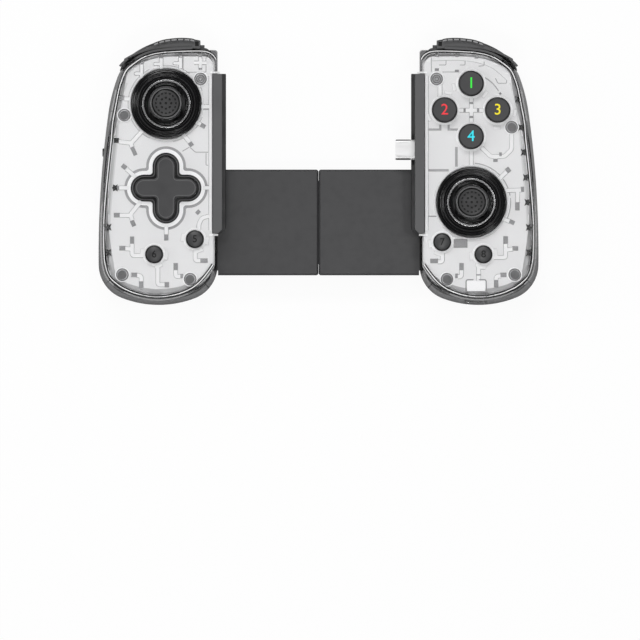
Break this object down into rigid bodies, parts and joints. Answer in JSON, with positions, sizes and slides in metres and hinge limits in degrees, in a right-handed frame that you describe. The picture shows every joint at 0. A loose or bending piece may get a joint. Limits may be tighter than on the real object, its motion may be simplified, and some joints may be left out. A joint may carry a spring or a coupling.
{
  "type": "phone game controller",
  "caption": "Telescopic game controller for a phone: two grips with sticks, buttons and triggers on a sliding bridge, with a plug in the right rail.",
  "frame": {"origin": "under the middle of the closed controller, at the height of the grips' backs", "axes": "+X from the left grip to the right one, +Y from the grips' lower ends to the triggers, +Z out of the face"},
  "size_m": [0.183, 0.111, 0.0354],
  "materials": {
    "smoky_shell": "smoky tinted, glossy",
    "clear_cover": "clear, glossy",
    "white_panel": "satin",
    "rail_grey": "satin",
    "soft_rubber": "matte",
    "bridge_grey": "fine grain",
    "black_gloss": "high gloss",
    "black_cap": "satin",
    "button_grey": "satin",
    "pad_grey": "satin",
    "ring_metal": "brushed",
    "steel": "plain",
    "gear_plastic": "plain",
    "board": "coated",
    "silicone": "soft",
    "module_black": "plain",
    "plug_metal": "nickel plated"
  },
  "bodies": {
    "centre": {"centre_slider": "bridge_grey", "slider_plate": "bridge_grey", "left_return_spring": "steel", "right_return_spring": "steel"},
    "pinion": {"pinion": "gear_plastic"},
    "left_grip": {"left_rear_shell": "smoky_shell", "left_inner_panel": "white_panel", "left_front_cover": "clear_cover", "left_rail": "rail_grey", "left_rail_pad": "soft_rubber", "left_bridge_cover": "bridge_grey", "left_rack": "gear_plastic", "left_circuit_board": "board", "left_membrane": "silicone", "left_stick_bowl": "black_gloss", "left_stick_ring": "ring_metal", "left_stick_module": "module_black", "left_trigger_pin": "steel", "left_shell_screws": "steel"},
    "left_stick_yoke": {"left_stick_yoke": "module_black"},
    "left_stick_rocker": {"left_stick_rocker": "gear_plastic"},
    "left_stick": {"left_stick_shaft": "module_black", "left_stick_cap": "black_cap"},
    "left_menu_inner": {"left_menu_button_inner": "button_grey"},
    "left_menu_outer": {"left_menu_button_outer": "button_grey"},
    "left_bumper": {"left_bumper": "black_gloss"},
    "left_trigger": {"left_trigger": "button_grey"},
    "right_grip": {"right_rear_shell": "smoky_shell", "right_inner_panel": "white_panel", "right_front_cover": "clear_cover", "right_rail": "rail_grey", "right_rail_pad": "soft_rubber", "right_bridge_cover": "bridge_grey", "right_rack": "gear_plastic", "right_circuit_board": "board", "right_membrane": "silicone", "right_stick_bowl": "black_gloss", "right_stick_ring": "ring_metal", "right_stick_module": "module_black", "right_trigger_pin": "steel", "right_shell_screws": "steel", "usb_plug": "plug_metal", "charge_port": "plug_metal"},
    "right_stick_yoke": {"right_stick_yoke": "module_black"},
    "right_stick_rocker": {"right_stick_rocker": "gear_plastic"},
    "right_stick": {"right_stick_shaft": "module_black", "right_stick_cap": "black_cap"},
    "right_menu_inner": {"right_menu_button_inner": "button_grey"},
    "right_menu_outer": {"right_menu_button_outer": "button_grey"},
    "right_bumper": {"right_bumper": "black_gloss"},
    "right_trigger": {"right_trigger": "button_grey"},
    "button_top": {"face_button_top": "button_grey"},
    "button_left": {"face_button_left": "button_grey"},
    "button_right": {"face_button_right": "button_grey"},
    "button_bottom": {"face_button_bottom": "button_grey"},
    "dpad_pivot": {"dpad_pivot": "module_black"},
    "dpad": {"dpad_cap": "pad_grey"},
    "slide_switch": {"slide_switch": "black_cap"}
  },
  "joints": [
    {"name": "left_slide", "type": "slide", "parent": "centre", "child": "left_grip", "axis": [-1, 0, 0], "range_m": [0, 0.046], "stiffness_N_per_m": 60, "springref_m": -0.02, "deforming": ["left_return_spring"]},
    {"name": "left_stick_tilt", "type": "hinge", "parent": "left_grip", "child": "left_stick_yoke", "pos_m": [-0.0632, 0.0281, 0.0182], "axis": [1, 0, 0], "range_deg": [-16, 16], "stiffness_Nm_per_rad": 0.03},
    {"name": "left_stick_roll", "type": "hinge", "parent": "left_stick_yoke", "child": "left_stick_rocker", "pos_m": [-0.0632, 0.0281, 0.0182], "axis": [0, 1, 0], "range_deg": [-16, 16], "stiffness_Nm_per_rad": 0.03},
    {"name": "left_stick_click", "type": "slide", "parent": "left_stick_rocker", "child": "left_stick", "axis": [0, 0, -1], "range_m": [0, 0.0005], "stiffness_N_per_m": 2000, "springref_m": -0.0004},
    {"name": "left_menu_inner_press", "type": "slide", "parent": "left_grip", "child": "left_menu_inner", "axis": [0, 0, -1], "range_m": [0, 0.0006], "stiffness_N_per_m": 800, "springref_m": -0.0004, "deforming": ["left_membrane"]},
    {"name": "left_menu_outer_press", "type": "slide", "parent": "left_grip", "child": "left_menu_outer", "axis": [0, 0, -1], "range_m": [0, 0.0006], "stiffness_N_per_m": 800, "springref_m": -0.0004, "deforming": ["left_membrane"]},
    {"name": "left_bumper_click", "type": "hinge", "parent": "left_grip", "child": "left_bumper", "pos_m": [-0.0474, 0.049, 0.0175], "axis": [0, 0, 1], "range_deg": [0, 1.5], "stiffness_Nm_per_rad": 0.5, "springref_deg": -1.72},
    {"name": "left_trigger_pull", "type": "hinge", "parent": "left_grip", "child": "left_trigger", "pos_m": [-0.063, 0.0442, 0.0104], "axis": [-1, 0, 0], "range_deg": [0, 18], "stiffness_Nm_per_rad": 0.04, "springref_deg": -8.59},
    {"name": "right_slide", "type": "slide", "parent": "centre", "child": "right_grip", "axis": [1, 0, 0], "range_m": [0, 0.046], "stiffness_N_per_m": 60, "springref_m": -0.02, "deforming": ["right_return_spring"]},
    {"name": "right_stick_tilt", "type": "hinge", "parent": "right_grip", "child": "right_stick_yoke", "pos_m": [0.0634, -0.0128, 0.0182], "axis": [1, 0, 0], "range_deg": [-16, 16], "stiffness_Nm_per_rad": 0.03},
    {"name": "right_stick_roll", "type": "hinge", "parent": "right_stick_yoke", "child": "right_stick_rocker", "pos_m": [0.0634, -0.0128, 0.0182], "axis": [0, 1, 0], "range_deg": [-16, 16], "stiffness_Nm_per_rad": 0.03},
    {"name": "right_stick_click", "type": "slide", "parent": "right_stick_rocker", "child": "right_stick", "axis": [0, 0, -1], "range_m": [0, 0.0005], "stiffness_N_per_m": 2000, "springref_m": -0.0004},
    {"name": "right_menu_inner_press", "type": "slide", "parent": "right_grip", "child": "right_menu_inner", "axis": [0, 0, -1], "range_m": [0, 0.0006], "stiffness_N_per_m": 800, "springref_m": -0.0004, "deforming": ["right_membrane"]},
    {"name": "right_menu_outer_press", "type": "slide", "parent": "right_grip", "child": "right_menu_outer", "axis": [0, 0, -1], "range_m": [0, 0.0006], "stiffness_N_per_m": 800, "springref_m": -0.0004, "deforming": ["right_membrane"]},
    {"name": "right_bumper_click", "type": "hinge", "parent": "right_grip", "child": "right_bumper", "pos_m": [0.0474, 0.049, 0.0175], "axis": [0, 0, -1], "range_deg": [0, 1.5], "stiffness_Nm_per_rad": 0.5, "springref_deg": -1.72},
    {"name": "right_trigger_pull", "type": "hinge", "parent": "right_grip", "child": "right_trigger", "pos_m": [0.063, 0.0442, 0.0104], "axis": [-1, 0, 0], "range_deg": [0, 18], "stiffness_Nm_per_rad": 0.04, "springref_deg": -8.59},
    {"name": "button_top_press", "type": "slide", "parent": "right_grip", "child": "button_top", "axis": [0, 0, -1], "range_m": [0, 0.0012], "stiffness_N_per_m": 400, "springref_m": -0.0008, "deforming": ["right_membrane"]},
    {"name": "button_left_press", "type": "slide", "parent": "right_grip", "child": "button_left", "axis": [0, 0, -1], "range_m": [0, 0.0012], "stiffness_N_per_m": 400, "springref_m": -0.0008, "deforming": ["right_membrane"]},
    {"name": "button_right_press", "type": "slide", "parent": "right_grip", "child": "button_right", "axis": [0, 0, -1], "range_m": [0, 0.0012], "stiffness_N_per_m": 400, "springref_m": -0.0008, "deforming": ["right_membrane"]},
    {"name": "button_bottom_press", "type": "slide", "parent": "right_grip", "child": "button_bottom", "axis": [0, 0, -1], "range_m": [0, 0.0012], "stiffness_N_per_m": 400, "springref_m": -0.0008, "deforming": ["right_membrane"]},
    {"name": "dpad_tilt", "type": "hinge", "parent": "left_grip", "child": "dpad_pivot", "pos_m": [-0.0633, -0.0069, 0.0174], "axis": [1, 0, 0], "range_deg": [-4, 4], "stiffness_Nm_per_rad": 0.05, "deforming": ["left_membrane"]},
    {"name": "dpad_roll", "type": "hinge", "parent": "dpad_pivot", "child": "dpad", "pos_m": [-0.0633, -0.0069, 0.0174], "axis": [0, 1, 0], "range_deg": [-4, 4], "stiffness_Nm_per_rad": 0.05, "deforming": ["left_membrane"]},
    {"name": "switch_slide", "type": "slide", "parent": "left_grip", "child": "slide_switch", "axis": [0, 1, 0], "range_m": [-0.0015, 0.0015]},
    {"name": "pinion_spin", "type": "hinge", "parent": "centre", "child": "pinion", "pos_m": [0, -0.021, 0.0085], "axis": [0, 0, 1], "range_deg": [0, 489]}
  ],
  "couplings": [
    {"joint": "right_slide", "follows": "left_slide", "ratio": 1},
    {"joint": "pinion_spin", "follows": "left_slide", "rad_per_m": 185.19}
  ]
}
